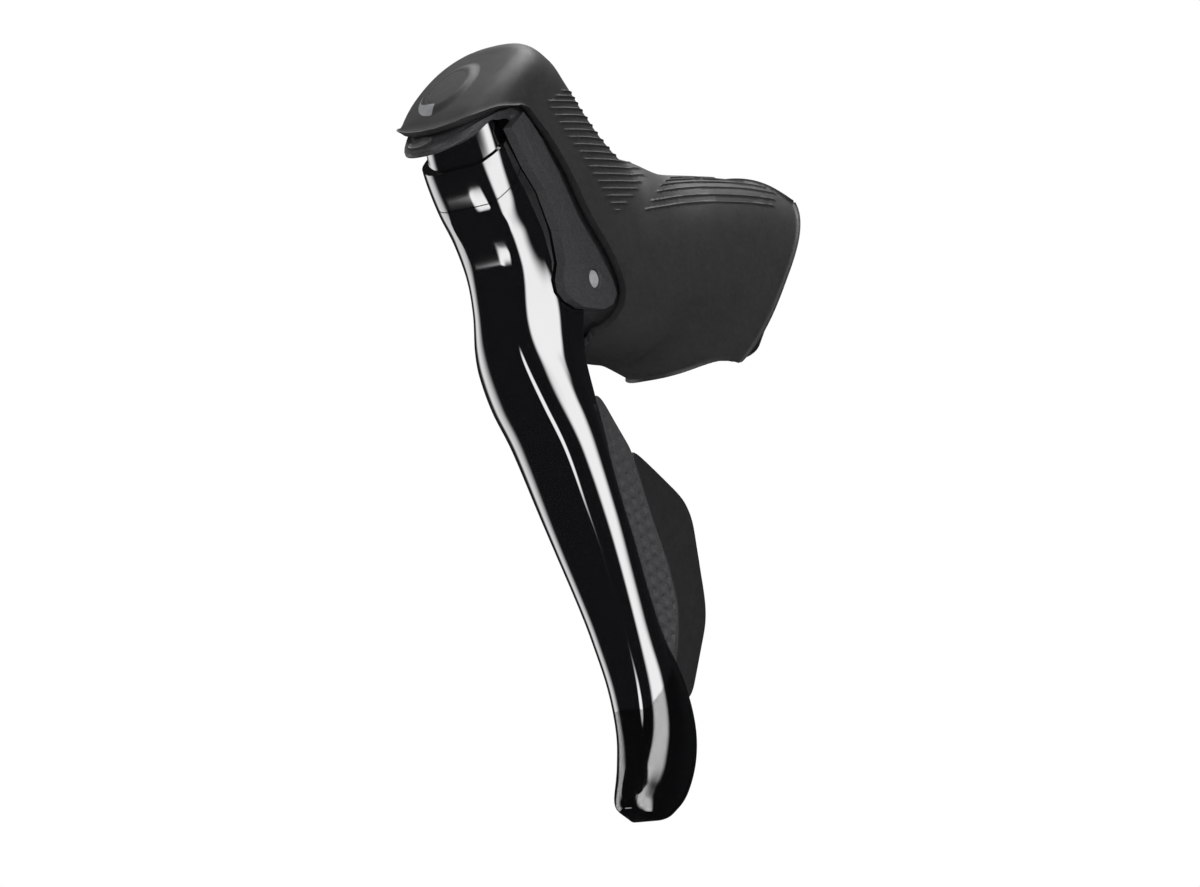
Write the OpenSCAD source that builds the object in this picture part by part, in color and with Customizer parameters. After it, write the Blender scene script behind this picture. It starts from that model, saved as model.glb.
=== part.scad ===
// Left-hand brake shift lever for a drop handlebar: hydraulic brake lever with two shift buttons.
// X points to the rear, Y inboard, Z up. The origin is the centre of the handlebar clamp.

/* [Handlebar clamp] */
// Diameter of the handlebar
bar_d = 24; // [23.6:0.1:24.2]
// Lean of the handlebar's axis from vertical, with its top to the rear
bar_lean = 33.5; // [32:0.5:35]
// Width of the steel clamp band
band_w = 12; // [10:1:13]
// Thickness of the clamp band
band_t = 1.2; // [1:0.1:1.3]

/* [Body and hood] */
// Thickness of the rubber hood
hood_t = 1.9; // [1.7:0.1:2.2]
// Gap between the hood's edge and the bracket's arm
hood_gap = 0.4; // [0.3:0.1:0.6]
// Outer distance from the middle plane to the side of an arm
arm_y = 14; // [13.8:0.1:14.2]
// Inner distance from the middle plane to an arm
fork_y = 11.5; // [11.4:0.1:11.6]

/* [Lever] */
// Pivot in front of the clamp centre
pivot_x = -62; // [-62.5:0.5:-61.5]
// Pivot above the clamp centre
pivot_z = -2; // [-2.5:0.5:-1.5]
// Radius of the pivot pin
pin_r = 2; // [1.8:0.1:2.1]
// Wall of the lever blade
blade_wall = 2.3; // [2.1:0.1:2.5]

/* [Master cylinder] */
// Lean of the cylinder from vertical, with its top to the front
cylinder_lean = 35; // [34:0.5:36]
// Radius of the piston
piston_r = 4.95; // [4.9:0.05:4.95]
// Radius of the cylinder's bore
bore_r = 5; // [5:0.05:5.1]
// Distance from the pivot to the push roller
roller_arm = 12; // [11.5:0.5:12.5]

/* [Shift buttons] */
// Slope of the button faces: outboard per unit of height
button_flare = 12.24; // [11:0.5:13]
// Radius of the axle that both buttons turn on
axle_r = 1; // [0.8:0.1:1]

/* [Hidden] */
$fn = 48;
rubber = "#2b2c2e";
nylon = "#3b3d41";
steel = "#b9bcc0";
alloy = "#c9ccd0";
gloss = "#0c0c0e";
eps = 0.01;

// ---- helpers ----------------------------------------------------------------------------------
function bend(a, b, c, d, t) =
  0.5 * (2 * b + (c - a) * t + (2 * a - 5 * b + 4 * c - d) * t * t + (3 * b - a - 3 * c + d) * t * t * t);
function smooth(rows, n) = let (last = len(rows) - 1) [
  for (i = [0:last - 1]) for (k = [0:n - 1])
    bend(rows[max(0, i - 1)], rows[i], rows[i + 1], rows[min(last, i + 2)], k / n),
  rows[last]];
function power(v, e) = sign(v) * pow(abs(v), e);

// Skin through a list of closed rings that have the same number of points.
module loft(rings) {
  n = len(rings[0]);
  last = len(rings) - 1;
  sides = [for (i = [0:last - 1]) for (j = [0:n - 1])
    let (a = i * n + j, b = i * n + (j + 1) % n) each [[a, b, b + n], [a, b + n, a + n]]];
  caps = [[for (j = [n - 1:-1:0]) j], [for (j = [0:n - 1]) last * n + j]];
  polyhedron(points = [for (r = rings) each r], faces = concat(sides, caps), convexity = 8);
}
// Round bar along Y.
module y_rod(r, y0, y1) translate([0, y0, 0]) rotate([-90, 0, 0]) cylinder(r = r, h = y1 - y0);
// Plate between y0 and y1 with an outline in X and Z.
module side_plate(y0, y1) translate([0, y1, 0]) rotate([90, 0, 0]) linear_extrude(y1 - y0) children();
// Box from its two corners.
module block(a, b) translate(a) cube(b - a);
module along_bar() rotate([0, bar_lean, 0]) children();
module at_pivot() translate([pivot_x, 0, pivot_z]) children();
// Pivot frame with Z along the master cylinder and X to the rear of it.
module lever_frame() at_pivot() rotate([0, -cylinder_lean, 0]) children();
module cylinder_frame() lever_frame() translate([roller_arm, 0, 0]) children();
// Helical spring along Z.
module coil(r, wire, turns, h, per_turn = 14, sides = 6) loft([for (i = [0:turns * per_turn])
  let (t = i / (turns * per_turn), a = 360 * turns * t)
  [for (k = [0:sides - 1]) let (b = 360 * k / sides, q = r + wire * cos(b))
    [q * cos(a), q * sin(a), wire + t * (h - 2 * wire) - wire * sin(b)]]]);

// ---- outer form of the body -------------------------------------------------------------------
// Each station: top x, top z, bottom x, bottom z, half width, top squareness, bottom squareness.
body_stations = [
  [17.9, 27.8, -6.6, -15.4, 18, 2.2, 4],
  [2.8, 27.6, -20, -19.4, 17.2, 3.1, 2.2],
  [-12.4, 27, -33.2, -15.8, 16.5, 2.8, 2.5],
  [-26, 26.2, -41, -15.3, 15.9, 2.3, 2.9],
  [-36, 28, -51.2, -15, 15.3, 2.1, 2.4],
  [-42.4, 29, -56.8, -14, 14.8, 2, 2.4],
  [-50.6, 33.6, -67, -9, 14.5, 2.1, 3],
  [-58.2, 39.4, -76.4, 6, 14.3, 2.1, 3.5],
  [-63.6, 44.2, -84, 19.9, 13.5, 2.2, 3.4],
  [-69.2, 47.6, -88.4, 26.7, 13.2, 2.5, 3.5],
  [-76.7, 49, -91, 27, 13.2, 2.6, 3.4],
  [-85.8, 41.9, -95.3, 24.9, 12.4, 3.1, 3],
  [-93.3, 33.8, -99.1, 23.5, 10, 3.2, 3],
  [-98.7, 27.4, -101.6, 22.3, 7, 2.6, 2.6]];
nose_station = [-101.2, 25.2, -102.6, 22.6, 4.2, 2.2, 2.2];
rear_extra = [1.67, -1.1, 1.67, -1.1, 0, 0, 0];

function body_ring(s, inset, n) = let (
    mid = [s[0] + s[2], s[1] + s[3]] / 2,
    half = norm([s[0] - s[2], s[1] - s[3]]) / 2,
    up = [s[0] - s[2], s[1] - s[3]] / (2 * half))
  [for (k = [0:n - 1]) let (
      a = 360 * k / n,
      e = 2 / (sin(a) > 0 ? s[5] : s[6]),
      p = power(sin(a), e) * (half - inset),
      q = power(cos(a), e) * (s[4] - inset))
    [mid[0] + up[0] * p, q, mid[1] + up[1] * p]];
module body_outer(inset = 0) loft([for (s = smooth(concat(body_stations, [nose_station]), 2))
  body_ring(s, inset, 24)]);
module body_core() loft([for (s = smooth(body_stations, 1)) body_ring(s, hood_t, 24)]);
// The core made longer at the rear, to cut the hood open there.
module core_cutter() loft([for (s = smooth(concat([body_stations[0] + rear_extra], body_stations), 1))
  body_ring(s, hood_t - 0.05, 24)]);

// Side outline of the hood's window, in which the bracket's lip and arms show.
window_outline = [
  [-106, 19], [-102.6, 23.2], [-98.5, 27], [-94.6, 29.8], [-90.5, 32], [-86.3, 33.3], [-84, 33],
  [-81.8, 31.2], [-77.4, 27.1], [-72.7, 21], [-66.5, 11.7], [-60, 4.6], [-55.2, -1.6], [-53.7, -4.9],
  [-54.2, -8], [-56.5, -10.6], [-61.5, -12.8], [-68, -14.5], [-75, -18], [-110, -18], [-110, 16]];
// Outline of an arm, with its front edge moved to the rear by setback.
function arm_outline(setback) = concat(
  [for (p = [[-88.5, 28.5], [-86.7, 25.9], [-83, 20.8], [-78.3, 15.9], [-73.8, 7.5], [-72.3, 0.6],
    [-73.4, -3.4], [-72.8, -5.8], [-70.5, -7.6]]) p + [setback, 0]],
  [[-66.5, -8.8], [-59.4, -8.6], [-56.2, -7.2], [-54.6, -4.6], [-55.8, -1.6],
    [-60.6, 4.4], [-67, 11.5], [-73.2, 20.8], [-77.9, 26.9], [-82, 30.8], [-84.2, 32.4]]);

// ---- room for the lever -----------------------------------------------------------------------
slot_back = 3.4;      // rear wall of the fork, behind the pivot plane
slot_reach = 44.2;      // radius that the top of the lever sweeps
tab_reach = 18.5;     // radius that the push roller's tab and the pushrod's pad need
tab_top = 8.3;        // height of the tab's room along the cylinder
module lever_room(half) {
  intersection() {
    at_pivot() y_rod(slot_reach, -half, half);
    lever_frame() block([-60, -30, -6.2], [slot_back, 30, 60]);
  }
  intersection() {
    at_pivot() y_rod(tab_reach, -half, half);
    lever_frame() block([-16, -30, -6.2], [16.2, 30, tab_top]);
  }
}
pull_room = 29;       // turn of the lever that the body leaves free below the pivot
module room_below() at_pivot() rotate([0, -pull_room, 0]) block([-60, -30, -40], [-0.6, 30, -6.2]);

// ---- fixed parts ------------------------------------------------------------------------------
saddle_r = 12.6;
band_r = bar_d / 2 + 0.05;
bolt_y = -12.2;
bolt_tilt = 11;
module bolt_line() along_bar() translate([-10, bolt_y, 0]) rotate([0, 0, -bolt_tilt]) rotate([0, -90, 0])
  children();
hose_n = -13;
hose_y = 11;
module hose_line() along_bar() translate([hose_n, hose_y, 0]) children();
battery_at = [-34, 0, 6];
set_screw_y = 12.4;
sleeve_r = 6.8;
sleeve_from = 9.3;
sleeve_to = 36;
reservoir_x = [7.4, 18];
reservoir_y = 6;
reservoir_z = [40.8, 44.8];
cover_z = 46.1;
button_at = [2, 1.5];

module bracket_body() color(nylon) difference() {
  union() {
    difference() {
      body_core();
      room_below();
    }
    intersection() {
      body_outer(0.5);
      side_plate(-20, 20) polygon(window_outline);
      block([-110, -20, 19.5], [-78, 20, 40]);
    }
    side_plate(-arm_y + 0.1, -fork_y + 0.3) polygon(arm_outline(0));
    side_plate(fork_y - 0.3, arm_y - 0.6) polygon(arm_outline(2.4));
  }
  lever_room(fork_y);
  at_pivot() y_rod(pin_r + 0.02, -20, 20);
  at_pivot() y_rod(pin_r + 0.25, -20, -arm_y + 0.9);
  at_pivot() y_rod(pin_r + 0.25, arm_y - 0.9, 20);
  at_pivot() translate([-14, set_screw_y, 0]) rotate([0, 90, 0]) cylinder(r = 0.82, h = 13);
  // handlebar saddle, with a groove for the band and a pocket for its nut
  along_bar() cylinder(r = saddle_r, h = 120, center = true, $fn = 96);
  along_bar() block([-9, -saddle_r - 1.2, -band_w / 2 - 0.5], [9, saddle_r + 1.2, band_w / 2 + 0.5]);
  along_bar() block([-14, -16.4, -5], [1, -8.6, 5]);
  bolt_line() cylinder(r = 2.2, h = 16);
  bolt_line() translate([0, 0, 10.3]) cylinder(r = 3.2, h = 40);
  // master cylinder, reservoir and remote button
  cylinder_frame() translate([0, 0, 7]) cylinder(r = sleeve_r + 0.02, h = 32.6);
  lever_frame() block([reservoir_x[0], -reservoir_y, reservoir_z[0]], [reservoir_x[1], reservoir_y, 60]);
  cylinder_frame() translate([0, 0, 39]) cylinder(r = 0.8, h = 3);
  lever_frame() translate([button_at[0], button_at[1], 45]) cylinder(r = 3, h = 10);
  lever_frame() translate([button_at[0], button_at[1], 47.2]) button_oval(0.35, 6);
  // hose port and its oil way
  hose_line() cylinder(r = 3.4, h = 11);
  hose_line() translate([0, 0, 6]) cylinder(r = 4.4, h = 40);
  hose_line() translate([0, 0, 1]) rotate([0, -100, 0]) cylinder(r = 0.8, h = 24);
  // electronics bay and wire ports
  translate(battery_at) y_rod(9, 3.5, 20);
  translate(battery_at) cover_ears() y_rod(0.8, 6, 14);
  translate(battery_at) cover_ears() y_rod(1.9, 11.6, 20);
  for (z = [8, 14]) translate([-47, 0, z]) y_rod(2, 7, 20);
}

module hood() color(rubber) difference() {
  body_outer();
  core_cutter();
  side_plate(-20, 20) offset(delta = hood_gap) polygon(window_outline);
  lever_room(fork_y);
  intersection() {
    room_below();
    block([-90, -fork_y, -60], [0, 30, 60]);
  }
  along_bar() cylinder(r = saddle_r, h = 120, center = true, $fn = 96);
  along_bar() block([-0.4, -30, -60], [30, 30, 60]);
  hose_line() translate([0, 0, 6]) cylinder(r = 4.4, h = 40);
  lever_frame() translate([button_at[0], button_at[1], 46]) button_oval(0.35, 10);
  difference() {
    lever_frame() translate([0, 0, 45.4]) linear_extrude(8) offset(delta = 0.05) inlay_outline();
    body_outer(0.9);
  }
}

module button_oval(grow, h) {
  for (x = [-3.4, 3.4]) translate([x, 0, 0]) cylinder(r = 3.6 + grow, h = h);
  translate([-3.4, -3.6 - grow, 0]) cube([6.8, 7.2 + 2 * grow, h]);
}
// Hook-shaped mark at the front of the head.
module inlay_outline() polygon([[-8, 0.8], [-9.8, 0.4], [-9.7, 2.8], [-8.4, 5.2], [-5.6, 7.1], [-1, 8.2],
  [-4.8, 6.3], [-7, 4.2], [-7.9, 2.4]]);
module hood_inlay() color("#8f9296") difference() {
  intersection() {
    body_outer(0.05);
    lever_frame() translate([0, 0, 45.5]) linear_extrude(7) inlay_outline();
  }
  body_outer(0.85);
}

module clamp_band() color(steel) along_bar() {
  difference() {
    union() {
      cylinder(r = band_r + band_t, h = band_w, center = true, $fn = 96);
      for (side = [-1, 1]) translate([-4, side * (band_r + band_t / 2), 0])
        cube([8, band_t, band_w], center = true);
    }
    cylinder(r = band_r, h = 30, center = true, $fn = 96);
    block([-20, -band_r, -10], [-0.5, band_r, 10]);
  }
}
module clamp_nut() color(steel) along_bar() difference() {
  block([-13, -14.9, -4.5], [-8.05, -9.4, 4.5]);
  translate([-10, bolt_y, 0]) rotate([0, 0, -bolt_tilt]) rotate([0, -90, 0])
    translate([0, 0, -4]) cylinder(r = 2.02, h = 10);
}
module clamp_bolt() color(steel) bolt_line() difference() {
  union() {
    translate([0, 0, -1.4]) cylinder(r = 2, h = 12);
    translate([0, 0, 10.4]) cylinder(r = 3, h = 3);
  }
  translate([0, 0, 11.6]) cylinder(r = 1.6, h = 3, $fn = 6);
}

module pivot_pin() color(steel) at_pivot() y_rod(pin_r, -arm_y + 0.9, arm_y - 0.9);
module pin_set_screw() color(steel) at_pivot() translate([-4, set_screw_y, 0]) rotate([0, 90, 0]) difference() {
  cylinder(r = 0.8, h = 1.9);
  translate([0, 0, -eps]) cylinder(r = 0.4, h = 0.8, $fn = 6);
}

module cylinder_sleeve() color(alloy) cylinder_frame() difference() {
  translate([0, 0, sleeve_from]) cylinder(r = sleeve_r, h = sleeve_to - sleeve_from);
  cylinder(r = bore_r, h = 60);
  translate([0, 0, 10.2]) cylinder(r = bore_r + 0.6, h = 0.9);
  translate([0, 0, 31]) rotate([0, 90, 0]) cylinder(r = 0.5, h = 20);
}
module cylinder_plug() color(alloy) cylinder_frame() difference() {
  union() {
    translate([0, 0, sleeve_to]) cylinder(r = sleeve_r, h = 3.2);
    translate([0, 0, sleeve_to - 1.6]) cylinder(r = bore_r - 0.02, h = 1.7);
  }
  translate([0, 0, 30]) cylinder(r = 0.8, h = 20);
}
module retaining_ring() color(steel) cylinder_frame() translate([0, 0, 10.25]) difference() {
  cylinder(r = bore_r + 0.55, h = 0.8);
  translate([0, 0, -1]) cylinder(r = 3.4, h = 3);
  block([-7, -1.2, -1], [0, 1.2, 2]);
}

module reservoir_diaphragm() color(rubber) lever_frame() difference() {
  block([reservoir_x[0] + 0.05, -reservoir_y + 0.05, 42], [reservoir_x[1] - 0.05, reservoir_y - 0.05, 44.7]);
  block([reservoir_x[0] + 1, -reservoir_y + 1, 43], [reservoir_x[1] - 1, reservoir_y - 1, 50]);
}
module cover_corners() for (x = [reservoir_x[0] + 1.4, reservoir_x[1] - 1.4]) for (y = [-1, 1])
  translate([x, y * (reservoir_y - 1.4), 0]) children();
module reservoir_cover() color(nylon) lever_frame() difference() {
  block([reservoir_x[0] + 0.05, -reservoir_y + 0.05, reservoir_z[1] - 0.05],
    [reservoir_x[1] - 0.05, reservoir_y - 0.05, cover_z]);
  cover_corners() translate([0, 0, 40]) cylinder(r = 0.7, h = 20);
  cover_corners() translate([0, 0, 45.5]) cylinder(r = 1.25, h = 20);
  translate([12.7, 0, 40]) cylinder(r = 2.02, h = 20);
}
module cover_screws() color(steel) lever_frame() cover_corners() difference() {
  union() {
    translate([0, 0, 44.75]) cylinder(r = 0.68, h = 1);
    translate([0, 0, 45.52]) cylinder(r = 1.2, h = 0.7);
  }
  translate([0, 0, 45.8]) cylinder(r = 0.5, h = 1, $fn = 6);
}
module bleed_screw() color(steel) lever_frame() translate([12.7, 0, 0]) difference() {
  translate([0, 0, 44.8]) cylinder(r = 2, h = 1.8);
  translate([0, 0, 45.6]) cylinder(r = 1.1, h = 2, $fn = 6);
}

module hose_nut() color(alloy) hose_line() difference() {
  union() {
    translate([0, 0, 4]) cylinder(r = 3.35, h = 8.5);
    translate([0, 0, 11]) cylinder(r = 3.9, h = 3, $fn = 6);
  }
  translate([0, 0, 0]) cylinder(r = 2.55, h = 30);
}
module hose_olive() color("#c8a24a") hose_line() difference() {
  translate([0, 0, 0.6]) cylinder(r = 3.3, h = 3.2);
  cylinder(r = 2.55, h = 30);
}

module circuit_board() color("#1f5a3a") translate(battery_at) {
  y_rod(8.6, 4, 5.2);
  block([-4, 5.2, -3], [3, 6.4, 3]);
  block([4, 5.2, -4], [6.5, 6.2, 3]);
}
module coin_cell() color(steel) translate(battery_at) {
  y_rod(8, 7, 9.7);
  y_rod(6.6, 9.7, 10.2);
}
module cover_ears() for (a = [25, 205]) rotate([0, a, 0]) translate([10.8, 0, 0]) children();
module battery_cover() color(nylon) translate(battery_at) difference() {
  y_rod(8.95, 10.5, 12.2);
  y_rod(7.2, 10.2, 11.1);
  block([-3, 11.7, -0.5], [3, 14, 0.5]);
}
module battery_cover_screws() color(steel) translate(battery_at) cover_ears() difference() {
  union() {
    y_rod(0.78, 8, 12);
    y_rod(1.7, 11.65, 12.3);
  }
  block([-1.2, 11.9, -0.2], [1.2, 14, 0.2]);
}
module port_plugs() color(rubber) for (z = [8, 14]) translate([-47, 0, z]) {
  y_rod(1.98, 7.5, 11.4);
}

module remote_switch() color("#4c4f55") lever_frame() translate([button_at[0], button_at[1], 45.05]) {
  translate([-2, -2, 0]) cube([4, 4, 0.9]);
  cylinder(r = 1.3, h = 1.15);
}
module hood_button() color(rubber) lever_frame() translate([button_at[0], button_at[1], 0]) {
  translate([0, 0, 48]) button_oval(0, 1.3);
  translate([0, 0, 46.8]) cylinder(r = 1.6, h = 1.3);
}

// ---- piston group -----------------------------------------------------------------------------
roller_r = 2.5;
piston_from = 13;
piston_to = 25;
seal_at = [14.6, 22];
module piston() color(alloy) cylinder_frame() difference() {
  translate([0, 0, piston_from]) cylinder(r = piston_r, h = piston_to - piston_from);
  for (z = seal_at) translate([0, 0, z]) difference() {
    cylinder(r = 8, h = 1.6);
    cylinder(r = piston_r - 1.2, h = 1.6);
  }
  translate([0, 0, piston_from - 1]) cylinder(r = 1.55, h = 4);
  translate([0, 0, piston_to - 0.8]) cylinder(r = 3.6, h = 2);
}
module pushrod() color(steel) cylinder_frame() {
  translate([0, 0, roller_r + 0.3]) cylinder(r = 3.2, h = 1.4);
  translate([0, 0, roller_r + 1.6]) cylinder(r = 1.5, h = 11.6);
}
module piston_seals() color("#1a1a1a") cylinder_frame() for (z = seal_at) translate([0, 0, z + 0.05])
  difference() {
    cylinder(r = bore_r - 0.01, h = 1.5);
    translate([0, 0, -1]) cylinder(r = piston_r - 1.15, h = 4);
  }
module piston_spring() color(steel) cylinder_frame() translate([0, 0, piston_to - 0.6])
  coil(2.9, 0.4, 5, sleeve_to - 1.8 - piston_to + 0.4);

// ---- lever ------------------------------------------------------------------------------------
// Each station: front x, z, centre y, half width, depth.
blade_stations = [
  [-94, 26.5, 0, 10.8, 9.6],
  [-91.6, 20, 0, 11.1, 12],
  [-87.2, 12, 0, 11.2, 13.5],
  [-82.6, 6, 0, 11.2, 14.2],
  [-78.6, -1, 0, 11.2, 14],
  [-76.9, -8, 0, 11.2, 13.8],
  [-76.5, -16, 0, 11.2, 13],
  [-76.1, -23, -1.1, 11.1, 12.1],
  [-74.2, -31, -2.4, 10.8, 11.3],
  [-71.4, -40, -4.5, 9.9, 10],
  [-68.9, -52, -7.4, 8.9, 9.3],
  [-67, -62, -10, 8.2, 9],
  [-65.3, -74, -13, 7.4, 8.8],
  [-64, -84, -15.2, 6.9, 9.8],
  [-63.1, -93, -17, 6.5, 13.2],
  [-63.5, -102, -18.5, 6.2, 15],
  [-65.6, -109, -19.6, 5.9, 13.8],
  [-68.6, -114.5, -20.3, 5.2, 11],
  [-71.4, -118, -20.8, 3.8, 7.2],
  [-73.4, -119.8, -21, 1.6, 3]];
channel_stations = [for (i = [0:14]) blade_stations[i]];

function blade_ring(rows, i, wall, open, n) = let (
    s = rows[i],
    down = rows[min(len(rows) - 1, i + 1)] - rows[max(0, i - 1)],
    back = [-down[1], down[0]] / norm([down[0], down[1]]),
    e = 2 / 3.4)
  [for (k = [0:n - 1]) let (
      a = 360 * k / n,
      q = power(cos(a), e) * (s[3] - wall),
      p = s[4] / 2 - power(sin(a), e) * (s[4] / 2 - (sin(a) > 0 ? wall : -open)))
    [s[0] + back[0] * p, s[2] + q, s[1] + back[1] * p]];
module blade_form(wall = 0) let (
    above = 2 * blade_stations[0] - blade_stations[1],
    rows = smooth(wall > 0 ? concat([above], blade_stations) : blade_stations, 2))
  loft([for (i = [0:len(rows) - 1]) blade_ring(rows, i, wall, -wall, 24)]);
module blade_channel() let (rows = smooth(channel_stations, 1))
  loft([for (i = [0:len(rows) - 1]) blade_ring(rows, i, blade_wall, 4, 20)]);
plate_seam = 58;      // slope of the seam below the name plate
module above_seam(lift) translate([-88, 0, 12.6 + lift]) rotate([0, -plate_seam, 0]) block([-40, -20, 0], [60, 20, 60]);

module lever_blade() color(gloss) difference() {
  union() {
    difference() {
      blade_form();
      above_seam(-0.15);
    }
    intersection() {
      blade_form(1.45);
      above_seam(-0.3);
      lever_frame() block([-60, -60, -90], [60, 60, 38]);
    }
  }
  intersection() {
    blade_channel();
    block([-120, -40, -90.8], [0, 40, 60]);
    lever_frame() block([-60, -60, -90], [60, 60, 25]);
  }
  at_pivot() y_rod(5.6, -30, 30);
  button_frame() side_plate(-8, 9.2) polygon(seat_outline);
  screw_places() translate([0, 0, -12]) cylinder(r = 1.52, h = 8);
}
module name_plate() color(gloss) difference() {
  intersection() {
    blade_form();
    above_seam(0.05);
  }
  blade_form(1.3);
}
module screw_places() for (y = [-5, 5]) lever_frame() translate([0, y, 8]) rotate([0, 90, 0]) children();

module lever_yoke() color(alloy) difference() {
  union() {
    for (side = [-1, 1]) at_pivot() y_rod(5.2, side * 8.6 - 2.2, side * 8.6 + 2.2);
    lever_frame() block([-8.2, -8.1, -4], [-5, 8.1, 19.6]);
    lever_frame() block([-6, -8.1, 5.6], [-0.6, 8.1, 19.6]);
    lever_frame() for (side = [-1, 1]) translate([0, side * 7.5, 0]) block([-6, -1, -4], [0, 1, 8]);
    lever_frame() for (side = [-1, 1]) translate([0, side * 7.5, 0]) block([0, -1, -2.4], [roller_arm, 1, 2.4]);
    lever_frame() for (side = [-1, 1]) translate([roller_arm, 0, 0]) y_rod(2.4, side * 7.5 - 1, side * 7.5 + 1);
  }
  at_pivot() y_rod(2.92, -20, 20);
  cylinder_frame() y_rod(1.02, -20, 20);
  lever_frame() translate([-20, 0, 14]) rotate([0, 90, 0]) cylinder(r = 2.02, h = 40);
  screw_places() translate([0, 0, -20]) cylinder(r = 1.52, h = 40);
  screw_places() translate([0, 0, -2.6]) cylinder(r = 2.6, h = 4);
}
module blade_screws() color(steel) screw_places() difference() {
  union() {
    translate([0, 0, -11.8]) cylinder(r = 1.5, h = 9.4);
    translate([0, 0, -2.5]) cylinder(r = 2.5, h = 1.8);
  }
  translate([0, 0, -1.8]) cylinder(r = 1.2, h = 3, $fn = 6);
}
module pivot_bushes() color("#b08d4a") for (side = [0, 1]) at_pivot() mirror([0, side, 0]) difference() {
  union() {
    y_rod(2.9, 6.5, 11);
    y_rod(4.2, 10.85, 11.35);
  }
  y_rod(pin_r + 0.03, 0, 20);
}
module push_roller() color(steel) cylinder_frame() difference() {
  y_rod(roller_r, -4, 4);
  y_rod(1.05, -20, 20);
}
module roller_pin() color(steel) cylinder_frame() y_rod(1, -8.6, 8.6);
module return_spring() color(steel) at_pivot() translate([0, -5.6, 0]) rotate([-90, 0, 0]) coil(3.4, 0.5, 5, 11.2);
module reach_screw() color(steel) lever_frame() translate([0, 0, 14]) rotate([0, 90, 0]) difference() {
  translate([0, 0, -8.2]) cylinder(r = 2, h = 11.3);
  translate([0, 0, -8.3]) cylinder(r = 1.1, h = 2.6, $fn = 6);
}

// ---- shift buttons ----------------------------------------------------------------------------
// Button frame: X to the rear, Y inboard from the outer face, Z up along the blade.
module button_frame() translate([0, -8, -30]) rotate([-button_flare, 0, 0]) children();
axle_x = -54;
axle_y = 6.6;
front_outline = [
  [-55.6, 4], [-53.4, 2.8], [-50.2, -3.1], [-47, -8.7], [-45.3, -24], [-43.4, -34], [-43.1, -44],
  [-45.7, -51], [-50, -59.3], [-52.8, -60.2], [-55.4, -57.6], [-55.7, -50], [-55.6, -30], [-55.6, -9.3],
  [-56.2, 0]];
rear_outline = [
  [-46.5, -8.6], [-44, -8.9], [-38, -13.2], [-30.6, -18.8], [-28.9, -23.6], [-31.4, -43.5],
  [-33.2, -48.6], [-44, -64.8], [-47, -66.8], [-49.6, -66.8], [-52.2, -63.2], [-52, -61.3], [-49.6, -60.3],
  [-44.6, -51.5], [-41.9, -44.2], [-42.2, -33.8], [-44.2, -23.8]];
// Room that the buttons take from the rear edge of the blade.
seat_outline = [[-57.2, 6], [-57.2, -59.6], [-53.8, -63.8], [-50.6, -67.6], [-20, -67.6], [-20, 6]];
module axle_lug(z0, z1, r = 2) translate([axle_x, axle_y, z0]) cylinder(r = r, h = z1 - z0);

module front_button() color("#3a3c40") button_frame() difference() {
  union() {
    side_plate(0, 3.2) polygon(front_outline);
    for (z = [-20, -48]) {
      axle_lug(z, z + 6);
      block([axle_x - 1.2, 3, z], [axle_x + 1.2, axle_y, z + 6]);
    }
  }
  translate([axle_x, axle_y, -80]) cylinder(r = axle_r + 0.03, h = 100);
}
module rear_button() color("#2e3033") button_frame() difference() {
  union() {
    side_plate(0.8, 4.4) polygon(rear_outline);
    for (z = [-30, -56]) {
      axle_lug(z, z + 6);
      block([axle_x, 4.9, z], [-44, 7.1, z + 6]);
      block([-44.4, 4.1, z], [-41, 7.1, z + 6]);
    }
  }
  translate([axle_x, axle_y, -80]) cylinder(r = axle_r + 0.03, h = 100);
}
module switch_housing() color(nylon) button_frame() difference() {
  union() {
    block([-60.4, 3.6, -58], [-56.4, 7.8, -9]);
    for (z = [-12, -36, -59.6]) {
      axle_lug(z, z + 3.4);
      block([-57, axle_y - 1.6, z], [axle_x, axle_y + 1.6, z + 3.4]);
    }
  }
  translate([axle_x, axle_y, -80]) cylinder(r = axle_r, h = 100);
}
module switch_board() color("#1f5a3a") button_frame() {
  block([-60.2, 7.85, -50], [-57.1, 8.4, -12]);
  for (z = [-18, -46]) block([-59.4, 8.35, z], [-57.4, 8.9, z + 3]);
}
module button_axle() color(steel) button_frame() translate([axle_x, axle_y, -59.5]) cylinder(r = axle_r - 0.01, h = 51);
module front_button_spring() color(steel) button_frame() translate([axle_x, axle_y, -41.5]) coil(1.6, 0.25, 4, 4.8, 12, 5);
module rear_button_spring() color(steel) button_frame() translate([axle_x, axle_y, -23.6]) coil(1.6, 0.25, 3, 3, 12, 5);

bracket_body();
hood();
hood_inlay();
clamp_band();
clamp_nut();
clamp_bolt();
pivot_pin();
pin_set_screw();
cylinder_sleeve();
cylinder_plug();
retaining_ring();
reservoir_diaphragm();
reservoir_cover();
cover_screws();
bleed_screw();
hose_nut();
hose_olive();
circuit_board();
coin_cell();
battery_cover();
battery_cover_screws();
port_plugs();
remote_switch();
hood_button();
piston();
pushrod();
piston_seals();
piston_spring();
lever_blade();
name_plate();
lever_yoke();
blade_screws();
pivot_bushes();
push_roller();
roller_pin();
return_spring();
reach_screw();
switch_housing();
switch_board();
button_axle();
front_button_spring();
rear_button_spring();
front_button();
rear_button();
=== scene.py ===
import math

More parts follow.
